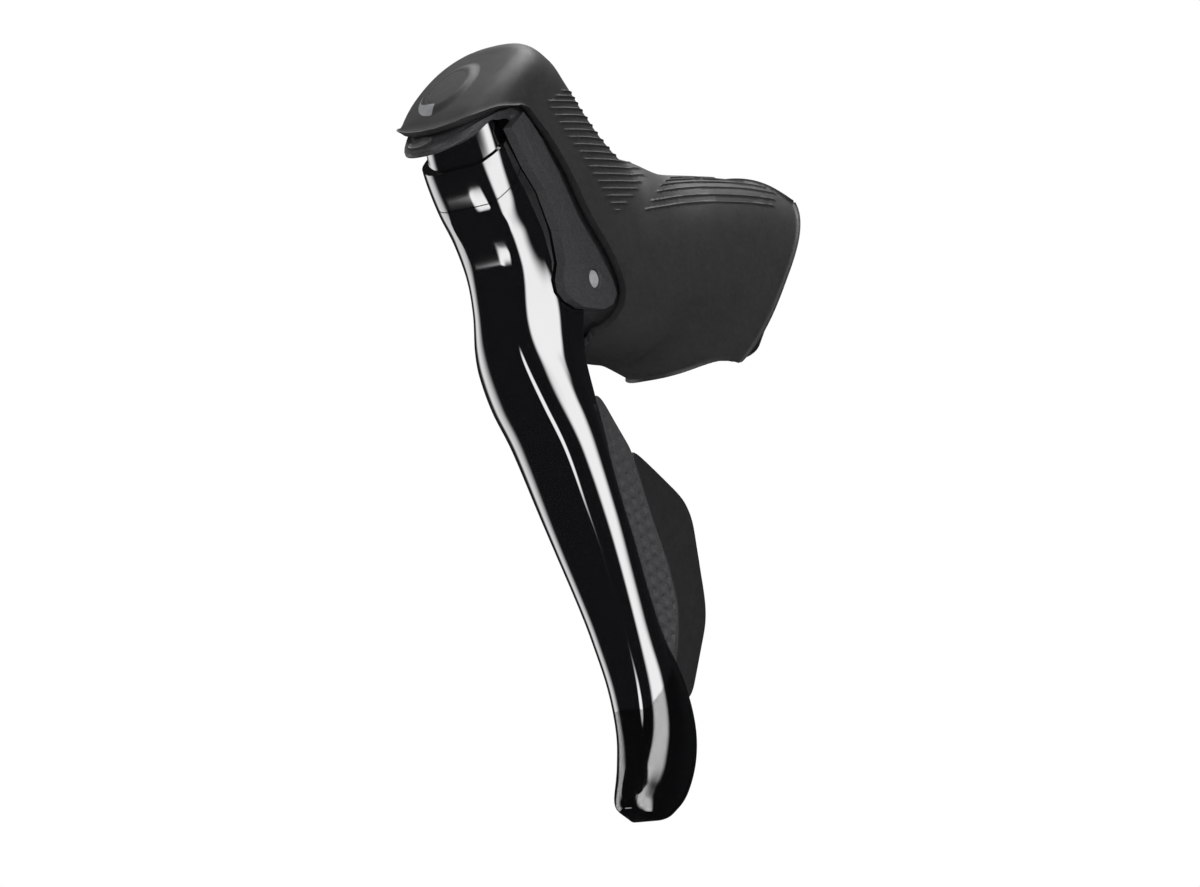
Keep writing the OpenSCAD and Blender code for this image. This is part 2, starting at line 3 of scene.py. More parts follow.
import bpy
import numpy as np
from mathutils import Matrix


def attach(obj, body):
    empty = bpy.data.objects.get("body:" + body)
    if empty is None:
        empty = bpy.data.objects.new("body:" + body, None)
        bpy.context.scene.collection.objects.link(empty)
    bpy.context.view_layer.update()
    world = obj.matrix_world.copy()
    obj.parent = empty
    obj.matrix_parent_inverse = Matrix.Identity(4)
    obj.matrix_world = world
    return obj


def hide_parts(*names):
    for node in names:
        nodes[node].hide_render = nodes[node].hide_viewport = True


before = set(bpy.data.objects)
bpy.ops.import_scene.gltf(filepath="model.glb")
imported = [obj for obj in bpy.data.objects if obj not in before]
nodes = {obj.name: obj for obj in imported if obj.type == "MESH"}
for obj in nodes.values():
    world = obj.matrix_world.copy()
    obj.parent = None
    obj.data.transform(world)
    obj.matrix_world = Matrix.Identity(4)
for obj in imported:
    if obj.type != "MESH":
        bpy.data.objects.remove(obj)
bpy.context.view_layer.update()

import openvdb as vdb
from mathutils import Matrix, Vector

MM = 0.001

# ---- sizes, in millimetres ---------------------------------------------------------------------
PIVOT = np.array([-62.0, 0.0, -2.0])     # lever pivot
CYLINDER_LEAN = math.radians(35)         # master cylinder, its top leaning to the front
BAR_LEAN = math.radians(33.5)            # handlebar axis, its top leaning to the rear
BAR_ROOM = 12.6                          # radius left free for the handlebar
FORK_Y = 11.45                           # half the slot that the lever swings in
ARM_Y = 14.0                             # outer side of the arms
SLOT_REACH = 44.15                       # radius that the top of the lever sweeps
HOOD_GAP = 0.4                           # dark line between the hood and the bracket
ROOM_LEAN = math.radians(29)             # lean of the room that the hood leaves behind the lever
HOSE_FRONT, HOSE_SIDE, HOSE_ROOM = 13, 11, 4.4   # hose port: ahead of the bar, inboard, and its radius


def turned(angle, x, z):
    """Side-view unit vectors of a frame turned about Y: (x axis, z axis) for the angle."""
    along = np.array([math.cos(angle), 0, math.sin(angle)])
    across = np.array([-math.sin(angle), 0, math.cos(angle)])
    return along * x + across * z


LEVER_REAR, LEVER_UP = turned(CYLINDER_LEAN, 1, 0), turned(CYLINDER_LEAN, 0, 1)
BAR_REAR, BAR_UP = turned(-BAR_LEAN, 1, 0), turned(-BAR_LEAN, 0, 1)


# ---- curves and distances ----------------------------------------------------------------------
def curve(rows, step):
    """Smooth curve through the rows, with points about step apart in the first three numbers."""
    rows = np.asarray(rows, float)
    out = []
    for i in range(len(rows) - 1):
        a, b, c, d = (rows[min(max(k, 0), len(rows) - 1)] for k in (i - 1, i, i + 1, i + 2))
        count = max(1, int(math.ceil(np.linalg.norm((c - b)[:3]) / step)))
        for t in np.arange(count) / count:
            out.append(0.5 * (2 * b + (c - a) * t + (2 * a - 5 * b + 4 * c - d) * t**2
                              + (3 * b - a - 3 * c + d) * t**3))
    return np.array(out + [rows[-1]])


def smoothstep(x, low, high):
    t = np.clip((x - low) / (high - low), 0, 1)
    return t * t * (3 - 2 * t)


def line_distance(points, line):
    """Distance from 2D points to an open line."""
    best = np.full(len(points), 1e9)
    for a, b in zip(line[:-1], line[1:]):
        d = b - a
        t = np.clip(((points - a) @ d) / max(d @ d, 1e-12), 0, 1)
        best = np.minimum(best, np.linalg.norm(points - a - t[:, None] * d, axis=1))
    return best


def outline_distance(points, outline):
    """Signed distance from 2D points to a closed outline, negative inside."""
    ring = np.vstack([outline, outline[:1]])
    inside = np.zeros(len(points), bool)
    for a, b in zip(ring[:-1], ring[1:]):
        crosses = (a[1] > points[:, 1]) != (b[1] > points[:, 1])
        rise = b[1] - a[1] if b[1] != a[1] else 1e-12
        inside ^= crosses & (points[:, 0] < (b[0] - a[0]) * (points[:, 1] - a[1]) / rise + a[0])
    d = line_distance(points, ring)
    return np.where(inside, -d, d)


def even_ring(ring, count):
    """The same closed ring with count points at equal distances."""
    closed = np.vstack([ring, ring[:1]])
    length = np.concatenate([[0], np.cumsum(np.linalg.norm(np.diff(closed, axis=0), axis=1))])
    at = np.arange(count) / count * length[-1]
    return np.stack([np.interp(at, length, closed[:, k]) for k in range(closed.shape[1])], axis=1)


# ---- sheets: a surface as points and faces, cut along the lines where a function is zero ----------
def split_along(points, faces, value, near=None):
    """Cuts the faces along value = 0, only between points where near is true."""
    value = np.where(np.abs(value) < 1e-5, 0.0, value)
    side = np.sign(value).astype(int).tolist()
    close = near.tolist() if near is not None else None
    added, new_points = {}, []
    for face in faces:
        if close is not None and not all(close[i] for i in face):
            continue
        for a, b in zip(face, face[1:] + face[:1]):
            if side[a] * side[b] < 0 and (min(a, b), max(a, b)) not in added:
                t = value[a] / (value[a] - value[b])
                added[(min(a, b), max(a, b))] = len(points) + len(new_points)
                new_points.append(points[a] + (points[b] - points[a]) * t)
    if not added:
        return points, faces
    side += [0] * len(new_points)
    out = []
    for face in faces:
        ring = []
        for a, b in zip(face, face[1:] + face[:1]):
            ring.append(a)
            cut = added.get((min(a, b), max(a, b)))
            if cut is not None:
                ring.append(cut)
        on = [k for k, i in enumerate(ring) if side[i] == 0]
        sides = {side[i] for i in ring}
        if len(on) == 2 and {1, -1} <= sides and 1 < on[1] - on[0] < len(ring) - 1:
            out.append(ring[on[0]:on[1] + 1])
            out.append(ring[on[1]:] + ring[:on[0] + 1])
        else:
            out.append(ring)
    return np.vstack([points, new_points]), out


def keep(points, faces, value):
    """The faces on the side where value is above zero."""
    kept = [f for f in faces if value[f].mean() > 0]
    used = np.unique([i for f in kept for i in f])
    number = np.full(len(points), -1)
    number[used] = np.arange(len(used))
    return points[used], [[int(number[i]) for i in f] for f in kept]


def grid_faces(rows, columns, closed=True):
    wrap = columns if closed else columns - 1
    return [[i * columns + j, i * columns + (j + 1) % columns,
             (i + 1) * columns + (j + 1) % columns, (i + 1) * columns + j]
            for i in range(rows - 1) for j in range(wrap)]


def point_normals(points, faces):
    mesh = bpy.data.meshes.new("scratch")
    mesh.from_pydata(points.tolist(), [], faces)
    normals = np.zeros(len(points) * 3, np.float32)
    mesh.vertex_normals.foreach_get("vector", normals)
    bpy.data.meshes.remove(mesh)
    return normals.reshape(-1, 3).astype(float)


def open_edges(faces):
    """The edges with a face on one side only, as that face goes round them."""
    edges = set()
    for f in faces:
        for a, b in zip(f, f[1:] + f[:1]):
            if (b, a) in edges:
                edges.discard((b, a))
            else:
                edges.add((a, b))
    return sorted(edges)


def thicken(points, faces, inner):
    """Closed shell from an outer sheet and the places of the same points on its inner side."""
    n = len(points)
    walls = [[b, a, a + n, b + n] for a, b in open_edges(faces)]
    return np.vstack([points, inner]), faces + [[i + n for i in reversed(f)] for f in faces] + walls


# ---- Blender objects ---------------------------------------------------------------------------
def new_object(name, points, faces, sharp=35):
    """Mesh object from points in millimetres, shaded smooth below the sharp angle."""
    mesh = bpy.data.meshes.new(name)
    mesh.from_pydata((np.asarray(points) * MM).tolist(), [], [list(map(int, f)) for f in faces])
    mesh.validate()
    mesh.shade_smooth()
    mesh.set_sharp_from_angle(angle=math.radians(sharp))
    obj = bpy.data.objects.new(name, mesh)
    bpy.context.scene.collection.objects.link(obj)
    return obj


def applied(obj, sharp=35):
    """Applies the object's modifiers to its mesh."""
    graph = bpy.context.evaluated_depsgraph_get()
    mesh = bpy.data.meshes.new_from_object(obj.evaluated_get(graph))
    obj.modifiers.clear()
    old, obj.data = obj.data, mesh
    bpy.data.meshes.remove(old)
    mesh.shade_smooth()
    mesh.set_sharp_from_angle(angle=math.radians(sharp))
    return obj


def combine(obj, other, operation="DIFFERENCE", sharp=35):
    """Boolean of two closed objects. The other object is removed."""
    m = obj.modifiers.new("boolean", "BOOLEAN")
    m.operation, m.solver, m.object = operation, "MANIFOLD", other
    bpy.context.view_layer.update()
    applied(obj, sharp)
    bpy.data.objects.remove(other)
    if not len(obj.data.polygons):
        raise RuntimeError(f"the boolean emptied {obj.name}")
    return obj


def show(obj, body, material, slot, *stands_for):
    """Rides on a body, takes a material, and stands for CAD nodes. The slot is not used."""
    obj.data.materials.clear()
    obj.data.materials.append(material)
    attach(obj, body)
    if stands_for:
        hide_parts(*stands_for)
    return obj


# ---- materials ---------------------------------------------------------------------------------
def material(name, colour, roughness, metallic=0.0, **options):
    """Principled material with mottled colour, uneven roughness and a fine bump.
    options: mottle, mottle_scale, grain (m), grain_scale, rough_spread, coat, coat_roughness, ior."""
    mat = bpy.data.materials.new(name)
    mat.use_nodes = True
    tree = mat.node_tree
    shader = tree.nodes["Principled BSDF"]
    place = tree.nodes.new("ShaderNodeTexCoord")

    def noise(scale, detail=4.0, rough=0.6):
        n = tree.nodes.new("ShaderNodeTexNoise")
        n.inputs["Scale"].default_value = scale
        n.inputs["Detail"].default_value = detail
        n.inputs["Roughness"].default_value = rough
        tree.links.new(place.outputs["Object"], n.inputs["Vector"])
        return n.outputs["Fac"]

    def ramp(source, low, high, colours):
        r = tree.nodes.new("ShaderNodeValToRGB")
        r.color_ramp.elements[0].position, r.color_ramp.elements[1].position = low, high
        for e, c in zip(r.color_ramp.elements, colours):
            e.color = (*c, 1)
        tree.links.new(source, r.inputs["Fac"])
        return r.outputs["Color"]

    spread = options.get("mottle", 0.15)
    colours = [[c * (1 - spread) for c in colour], [c * (1 + spread) for c in colour]]
    mottled = ramp(noise(options.get("mottle_scale", 400)), 0.35, 0.65, colours)
    tree.links.new(mottled, shader.inputs["Base Color"])
    swing = options.get("rough_spread", 0.06)
    uneven = ramp(noise(options.get("mottle_scale", 400) * 0.3), 0.3, 0.7,
                  [[roughness - swing] * 3, [roughness + swing] * 3])
    tree.links.new(uneven, shader.inputs["Roughness"])
    shader.inputs["Metallic"].default_value = metallic
    shader.inputs["IOR"].default_value = options.get("ior", 1.5)
    if options.get("grain", 0):
        bump = tree.nodes.new("ShaderNodeBump")
        bump.inputs["Strength"].default_value = 1.0
        bump.inputs["Distance"].default_value = options["grain"]
        tree.links.new(noise(options.get("grain_scale", 3000), 3.0, 0.55), bump.inputs["Height"])
        tree.links.new(bump.outputs["Normal"], shader.inputs["Normal"])
    if options.get("coat", 0):
        shader.inputs["Coat Weight"].default_value = options["coat"]
        shader.inputs["Coat Roughness"].default_value = options.get("coat_roughness", 0.03)
        shader.inputs["Coat IOR"].default_value = options.get("ior", 1.5)
    return mat


RUBBER = material("hood_rubber", (0.030, 0.030, 0.031), 0.56, grain=0.00003, grain_scale=5000,
                  mottle=0.10, mottle_scale=900)
NYLON = material("glass_filled_nylon", (0.052, 0.052, 0.055), 0.50, grain=0.00006, grain_scale=2600,
                 mottle=0.30, mottle_scale=2600)
GLOSS = material("gloss_black_paint", (0.0025, 0.0025, 0.003), 0.07, rough_spread=0.015, mottle=0.3,
                 mottle_scale=900, coat=1.0, coat_roughness=0.08, ior=2.1)
BUTTON = material("button_nylon", (0.056, 0.056, 0.058), 0.50, grain=0.00005, grain_scale=3000,
                  mottle=0.25, mottle_scale=2500)
SATIN = material("satin_black_nylon", (0.017, 0.017, 0.018), 0.50, grain=0.00002, grain_scale=4000,
                 mottle=0.15, mottle_scale=1500)
# light grey colour for the painted highlight strip on the rim of the hood's dish
HIGHLIGHT_PAINT = material("painted_rim_highlight", (0.28, 0.29, 0.30), 0.45, grain=0.00002, grain_scale=4000, mottle=0.08)
STEEL = material("brushed_steel", (0.62, 0.62, 0.63), 0.28, metallic=1.0, grain=0.00001, grain_scale=2500,
                 mottle=0.08, mottle_scale=700)
PIN_STEEL = material("satin_steel", (0.82, 0.82, 0.82), 0.62, metallic=0.6, grain=0.00001, grain_scale=2500,
                     mottle=0.06, mottle_scale=900)
DARK_STEEL = material("blackened_steel", (0.09, 0.09, 0.095), 0.38, metallic=1.0, grain=0.00001,
                      grain_scale=2500, mottle=0.12)
ALLOY = material("bead_blasted_alloy", (0.55, 0.56, 0.58), 0.42, metallic=1.0, grain=0.00003,
                 grain_scale=3500, mottle=0.06)
BRASS = material("brass", (0.65, 0.47, 0.20), 0.30, metallic=1.0, grain=0.00001, grain_scale=2000, mottle=0.1)
BRONZE = material("sintered_bronze", (0.42, 0.27, 0.12), 0.45, metallic=1.0, grain=0.00003,
                  grain_scale=5000, mottle=0.2)
BOARD = material("circuit_board_green", (0.012, 0.075, 0.035), 0.35, mottle=0.35, mottle_scale=600,
                 grain=0.00002, grain_scale=1500)
SEAL = material("seal_rubber", (0.012, 0.012, 0.012), 0.45, grain=0.00002, grain_scale=4000, mottle=0.1)

# ---- form of the body, the same stations as the CAD ----------------------------------------------
# Each station: top x, top z, bottom x, bottom z, half width, top squareness, bottom squareness.
BODY_STATIONS = [
    [17.9, 27.8, -6.6, -15.4, 18, 2.2, 4],
    [2.8, 27.6, -20, -19.4, 17.2, 3.1, 2.2],
    [-12.4, 27, -33.2, -15.8, 16.5, 2.8, 2.5],
    [-26, 26.2, -41, -15.3, 15.9, 2.3, 2.9],
    [-36, 28, -51.2, -15, 15.3, 2.1, 2.4],
    [-42.4, 29, -56.8, -14, 14.8, 2, 2.4],
    [-50.6, 33.6, -67, -9, 14.5, 2.1, 3],
    [-58.2, 39.4, -76.4, 6, 14.3, 2.1, 3.5],
    [-63.6, 44.2, -84, 19.9, 13.5, 2.2, 3.4],
    [-69.2, 47.6, -88.4, 26.7, 13.2, 2.5, 3.5],
    [-76.7, 49, -91, 27, 13.2, 2.6, 3.4],
    [-85.8, 41.9, -95.3, 24.9, 12.4, 3.1, 3],
    [-93.3, 33.8, -99.1, 23.5, 10, 3.2, 3],
    [-98.7, 27.4, -101.6, 22.3, 7, 2.6, 2.6],
    [-101.2, 25.2, -102.6, 22.6, 4.2, 2.2, 2.2]]
NOSE_REACH = 1.0

WINDOW_LINE = [
    [-106, 19], [-102.6, 23.2], [-98.5, 27], [-94.6, 29.8], [-90.5, 32], [-86.3, 33.3], [-84, 33],
    [-81.8, 31.2], [-77.4, 27.1], [-72.7, 21], [-66.5, 11.7], [-60, 4.6], [-55.2, -1.6], [-53.7, -4.9],
    [-54.2, -8], [-56.5, -10.6], [-61.5, -12.8], [-68, -14.5], [-75, -18]]
WINDOW = np.vstack([curve(WINDOW_LINE, 0.8), [[-110, -18], [-110, 16]]])


def body_section(s, inset, count):
    top, bottom = np.array([s[0], s[1]]), np.array([s[2], s[3]])
    middle, half = (top + bottom) / 2, np.linalg.norm(top - bottom) / 2
    up = (top - bottom) / (2 * half)
    a = np.linspace(0, 2 * math.pi, 720, endpoint=False)
    e = np.where(np.sin(a) > 0, 2 / s[5], 2 / s[6])
    p = np.sign(np.sin(a)) * np.abs(np.sin(a)) ** e * (half - inset)
    q = np.sign(np.cos(a)) * np.abs(np.cos(a)) ** e * (s[4] - inset)
    return even_ring(np.stack([middle[0] + up[0] * p, q, middle[1] + up[1] * p], axis=1), count)


def body_skin(inset, step, count):
    """Skin of the body as points and faces, closed at the nose and open at the rear."""
    stations = curve(BODY_STATIONS, step)
    rings = [body_section(s, inset, count) for s in stations]
    ahead = rings[-1].mean(0) - rings[-2].mean(0)
    ahead /= np.linalg.norm(ahead)
    tip = rings[-1]
    for t in np.linspace(0.2, 0.95, 5) * math.pi / 2:
        rings.append(tip.mean(0) + (tip - tip.mean(0)) * math.cos(t) + ahead * NOSE_REACH * math.sin(t))
    faces = grid_faces(len(rings), count)
    faces.append([(len(rings) - 1) * count + j for j in range(count)])
    return np.vstack(rings), faces


# ---- hood --------------------------------------------------------------------------------------
# Flat facet on the front of the head, and the dish with the remote button in it.
FACET_FRONT, FACET_BACK = np.array([-97.4, 30.7]), np.array([-77.5, 48.2])
FACET_ALONG = (FACET_BACK - FACET_FRONT) / np.linalg.norm(FACET_BACK - FACET_FRONT)
FACET_OUT = np.array([-FACET_ALONG[1], FACET_ALONG[0]])
DISH_AT, DISH_SIZE, DISH_DEPTH = np.array([12.2, 2.6]), np.array([9.9, 6.9]), 0.75
BUTTON_SHARE = 0.62                       # button in the floor of the dish, as a share of its size


def on_facet(points):
    """Side-view position along the facet and distance above it."""
    rel = points[:, [0, 2]] - FACET_FRONT
    return rel @ FACET_ALONG, rel @ FACET_OUT


def dish_radius(points):
    along, height = on_facet(points)
    r = np.hypot((along - DISH_AT[0]) / DISH_SIZE[0], (points[:, 1] - DISH_AT[1]) / DISH_SIZE[1])
    return np.where(height > -6, r, 9.0)


def glint_strip_value(points):
    """Above zero inside the hook-shaped strip of painted highlight, a light grey glint laid along the dish's
    front inboard edge.
    """
    along, _ = on_facet(points)
    u, v = (along - DISH_AT[0]) / DISH_SIZE[0], (points[:, 1] - DISH_AT[1]) / DISH_SIZE[1]
    angle = np.degrees(np.arctan2(v, -u))          # 0 at the dish's front, 90 at its inboard side
    width = 0.30 * (1 - smoothstep(angle, 5, 88)) + 0.02
    middle = 1.0 - width / 2 - 0.03
    side = width / 2 - np.abs(dish_radius(points) - middle)
    return np.minimum(side * 6, np.minimum(angle + 4, 86 - angle) * 0.12)


def edge_room(points):
    """Distance inside the hood's cut edges: the window, the room behind the lever, and the rear end."""
    y = points[:, 1]
    window = outline_distance(points[:, [0, 2]], WINDOW) - HOOD_GAP
    rel = points - PIVOT
    behind, up = rel @ turned(ROOM_LEAN, 1, 0), rel @ turned(ROOM_LEAN, 0, 1)
    below = np.maximum(np.maximum(behind + 0.6, up + 6.2), -FORK_Y - y)
    rear = -0.4 - points @ BAR_REAR
    bar = np.hypot(points @ BAR_REAR, y) - BAR_ROOM
    hose = np.hypot(points @ BAR_REAR + HOSE_FRONT, y - HOSE_SIDE) - HOSE_ROOM + 99 * (points @ BAR_UP < 0)
    return np.minimum.reduce([window, below, rear, bar, hose])


# Rib grooves: each has a height, its rise to the rear, its start and end, and how steep the surface is.
GROOVE_WIDTH, GROOVE_DEPTH, GROOVE_FADE = 0.6, 0.32, 1.6


def groove_rows():
    rows = []
    for k in range(18):
        start = [-71.9, -74.7, -77.6][k] if k < 3 else -77 + 1.39 * (k - 3)
        end = -37.0 if k < 12 else -38 - 3.2 * (k - 12)
        base = 38.5 - 1.48 * k
        rows.append((lambda p, b=base, s=start: p[:, 2] - b - 0.1 * (p[:, 0] - s), start, end, 1.0))
    for k, (top, start, end, steep) in enumerate([
            (20.7, -45.6, 4, 0.87), (22.3, -42.2, 6, 0.78), (24.1, -38.6, 9, 0.7), (25.4, -35.6, 8, 0.5),
            (26.2, -31.5, 1, 0.42), (26.75, -27.3, -8, 0.36)]):
        rows.append((lambda p, c=top: p[:, 2] - c + 0.0021 * (p[:, 0] - 9) ** 2, start, end, steep))
    return rows


def hood_sheet():
    points, faces = body_skin(0, 0.78, 184)
    # facet: everything above its plane is pressed down to it, with a soft ridge
    along, height = on_facet(points)
    soft = 0.7
    pressed = 0.5 * (height - np.sqrt(height**2 + soft**2))
    share = smoothstep(along, -6, 0) * (1 - smoothstep(along, 24, 33))
    points[:, [0, 2]] += ((pressed - height) * share)[:, None] * FACET_OUT
    # cut edges
    points, faces = split_along(points, faces, edge_room(points))
    points, faces = keep(points, faces, edge_room(points))
    for inside in (0.12, 0.35, 0.8):
        room = edge_room(points)
        points, faces = split_along(points, faces, room - inside, np.abs(room - inside) < 2)
    # dish, painted highlight strip and button
    for share in (BUTTON_SHARE, 0.72, 0.86, 1.0):
        r = dish_radius(points)
        points, faces = split_along(points, faces, r - share, np.abs(r - share) < 0.4)
    points, faces = split_along(points, faces, glint_strip_value(points), dish_radius(points) < 1.2)
    # grooves, each cut along its two sides and its bottom, on the faces of that region only
    centres = np.array([points[f].mean(0) for f in faces])
    ribbed = (centres[:, 0] > -80) & (centres[:, 0] < 12) & (centres[:, 2] > 8) & (centres[:, 2] < 44)
    region = [f for f, r in zip(faces, ribbed) if r]
    rest = [f for f, r in zip(faces, ribbed) if not r]
    for value, start, end, steep in groove_rows():
        half = GROOVE_WIDTH / 2 * steep
        for shift in (-half, 0, half):
            v = value(points) - shift
            near = (points[:, 0] > start - 1) & (points[:, 0] < end + 1) & (np.abs(v) < 2)
            points, region = split_along(points, region, v, near)
    faces = rest + region
    return points, faces


def hood_relief(points):
    """How far the hood's surface lies inside the smooth form: round edges, dish, gap and grooves."""
    room = edge_room(points)
    edge = 0.8
    t = np.clip(edge - room, 0, edge)
    depth = edge - np.sqrt(edge**2 - t**2)
    r = dish_radius(points)
    depth += DISH_DEPTH * (1 - smoothstep(r, 0.70, 1.0))
    for value, start, end, steep in groove_rows():
        half = GROOVE_WIDTH / 2 * steep
        profile = np.clip(1 - np.abs(value(points)) / half, 0, 1)
        fade = smoothstep(points[:, 0], start, start + GROOVE_FADE)
        fade *= 1 - smoothstep(points[:, 0], end - GROOVE_FADE, end)
        depth += GROOVE_DEPTH * profile * fade
    return depth


def build_hood():
    points, faces = hood_sheet()
    normals = point_normals(points, faces)
    relief = hood_relief(points)
    thick = 0.7 + 1.0 * smoothstep(points[:, 0], -103, -94)
    outer = points - normals * relief[:, None]
    inner = points - normals * (thick + np.minimum(relief, 0.9))[:, None]
    r, rim_glint = dish_radius(points), glint_strip_value(points)
    face_r = np.array([r[f].mean() for f in faces])
    face_glint = np.array([rim_glint[f].mean() for f in faces])
    # hood_inlay is the light grey strip of painted highlight along the dish's front inboard rim
    parts = {"hood": (face_r > BUTTON_SHARE) & (face_glint < 0), "hood_button": face_r < BUTTON_SHARE,
             "hood_inlay": (face_glint > 0) & (face_r > BUTTON_SHARE)}
    made = {}
    for name, chosen in parts.items():
        own = [f for f, c in zip(faces, chosen) if c]
        used = np.unique([i for f in own for i in f])
        number = {int(i): k for k, i in enumerate(used)}
        own = [[number[i] for i in f] for f in own]
        out, inn = outer[used].copy(), inner[used].copy()
        if name == "hood_button":                    # a hair's breadth of gap round the button
            centre = out.mean(0)
            out = centre + (out - centre) * 0.985
            inn = centre + (inn - centre) * 0.985
        # the painted highlight strip stands 0.05 mm proud of the rubber
        if name == "hood_inlay":
            out += normals[used] * 0.05
        made[name] = new_object(name + "_skin", *thicken(out, own, inn), sharp=50)
    show(made["hood"], "body", RUBBER, "hood_rubber", "hood")
    show(made["hood_button"], "hood_button", RUBBER, "hood_rubber", "hood_button")
    # painted highlight: light grey strip on the dish's rim, shown in place of the CAD hood_inlay
    show(made["hood_inlay"], "body", HIGHLIGHT_PAINT, "inlay", "hood_inlay")


# ---- bracket's lip and arms, as a distance field ---------------------------------------------------
ARM_FRONT = [[-88.5, 28.5], [-86.7, 25.9], [-83, 20.8], [-78.3, 15.9], [-73.8, 7.5], [-72.3, 0.6],
             [-73.4, -3.4], [-72.8, -5.8], [-70.5, -7.6]]
ARM_REAR = [[-66.5, -8.8], [-59.4, -8.6], [-56.2, -7.2], [-54.6, -4.6], [-55.8, -1.6],
            [-60.6, 4.4], [-67, 11.5], [-73.2, 20.8], [-77.9, 26.9], [-82, 30.8], [-84.2, 32.4]]
INBOARD_SETBACK = 2.4


def soft_max(a, b, r):
    return 0.5 * (a + b + np.sqrt((a - b) ** 2 + r * r))


def soft_min(a, b, r):
    return 0.5 * (a + b - np.sqrt((a - b) ** 2 + r * r))


def build_arms():
    voxel = 0.27
    low, high = np.array([-106.0, -16.0, -13.0]), np.array([-50.0, 16.0, 37.0])
    shape = np.ceil((high - low) / voxel).astype(int)
    skin, skin_faces = body_skin(0.5, 1.5, 96)
    rear = list(range(95, -1, -1))
    skin_faces = skin_faces + [rear]
    tris = [[f[0], f[k], f[k + 1]] for f in skin_faces for k in range(1, len(f) - 1)]
    where = vdb.createLinearTransform(voxelSize=voxel)
    grid = vdb.FloatGrid.createLevelSetFromPolygons(
        np.ascontiguousarray(skin - low, np.float32), triangles=np.array(tris, np.uint32),
        transform=where, halfWidth=8.0)
    body = np.zeros(shape, np.float32)
    grid.copyToArray(body)
    axes = [low[k] + voxel * np.arange(shape[k]) for k in range(3)]
    x, z = np.meshgrid(axes[0], axes[2], indexing="ij")
    flat = np.stack([x.ravel(), z.ravel()], axis=1)
    size = x.shape

    def plane(values):
        return values.reshape(size)[:, None, :]

    y = axes[1][None, :, None]
    window = plane(outline_distance(flat, WINDOW))
    rel = flat - PIVOT[[0, 2]]
    behind = plane(rel @ LEVER_REAR[[0, 2]])
    up = plane(rel @ LEVER_UP[[0, 2]])
    reach = plane(np.linalg.norm(rel, axis=1))
    slot = np.maximum(np.maximum(reach - SLOT_REACH, behind - 3.35), -6.2 - up)
    slot = soft_max(slot, np.abs(y) - FORK_Y, 0.4)
    floor = plane(19.6 - flat[:, 1])
    lip = np.maximum(soft_max(body, window, 0.25), floor)

    def arm(setback, outer):
        """Arm on one side: rounded plate whose outer face falls away towards the front edge."""
        front = np.array(ARM_FRONT) + [setback, 0]
        outline = curve(np.vstack([front, ARM_REAR]), 0.7)
        edge = plane(outline_distance(flat, outline))
        ahead = plane(line_distance(flat, curve(front, 0.7)))
        fall = 1.25 * (1 - smoothstep(ahead, -1.0, 4.2)) ** 1.4
        side = np.abs(y) - outer + fall
        inner = FORK_Y - np.abs(y)
        r = 0.55
        d = soft_max(edge, side, r)
        return np.maximum(d, inner)

    arms = np.where(y < 0, arm(0.0, ARM_Y), arm(INBOARD_SETBACK, ARM_Y - 0.5))
    solid = soft_min(lip, arms, 0.8)
    solid = soft_max(solid, -slot, 0.5)
    hole = plane(np.linalg.norm(rel, axis=1)) - 2.32
    recess = np.maximum(hole, 12.0 - np.abs(y))
    solid = soft_max(solid, -recess, 0.2)
    pin = plane(np.linalg.norm(rel, axis=1)) - 2.0
    solid = np.maximum(solid, -pin)
    out = vdb.FloatGrid(background=3.0)
    out.copyFromArray(np.ascontiguousarray(solid, np.float32))
    out.transform = where
    points, _, quads = out.convertToPolygons(isovalue=0.0, adaptivity=0.0)
    faces = [list(map(int, q)) for q in quads]
    obj = new_object("bracket_arms", np.asarray(points, float) + low, faces, sharp=180)
    show(obj, "body", NYLON, "nylon")


# ---- lever blade and name plate ------------------------------------------------------------------
# Each station: front x, z, centre y, half width, depth.
BLADE_STATIONS = [
    [-94, 26.5, 0, 10.8, 9.6],
    [-91.6, 20, 0, 11.1, 12],
    [-87.2, 12, 0, 11.2, 13.5],
    [-82.6, 6, 0, 11.2, 14.2],
    [-78.6, -1, 0, 11.2, 14],
    [-76.9, -8, 0, 11.2, 13.8],
    [-76.5, -16, 0, 11.2, 13],
    [-76.1, -23, -1.1, 11.1, 12.1],
    [-74.2, -31, -2.4, 10.8, 11.3],
    [-71.4, -40, -4.5, 9.9, 10],
    [-68.9, -52, -7.4, 8.9, 9.3],
    [-67, -62, -10, 8.2, 9],
    [-65.3, -74, -13, 7.4, 8.8],
    [-64, -84, -15.2, 6.9, 9.8],
    [-63.1, -93, -17, 6.5, 13.2],
    [-63.5, -102, -18.5, 6.2, 15],
    [-65.6, -109, -19.6, 5.9, 13.8],
    [-68.4, -114.2, -20.3, 5.2, 11.2],
    [-69.6, -116.4, -20.6, 4.6, 9.6],
    [-70.0, -118.0, -20.8, 3.8, 7.4],
    [-69.7, -119.2, -20.9, 2.6, 4.8],
    [-68.9, -119.9, -21, 1.0, 2.0]]
TIP_FROM = -113.5                         # below this height the sections keep one direction
BLADE_WALL = 2.3
CHANNEL_END = 14
SEAM_AT, SEAM_SLOPE = np.array([-88.0, 12.6]), math.radians(58)
PLATE_TOP_AT, PLATE_TOP_SLOPE = np.array([-91.8, 20.7]), math.radians(50)


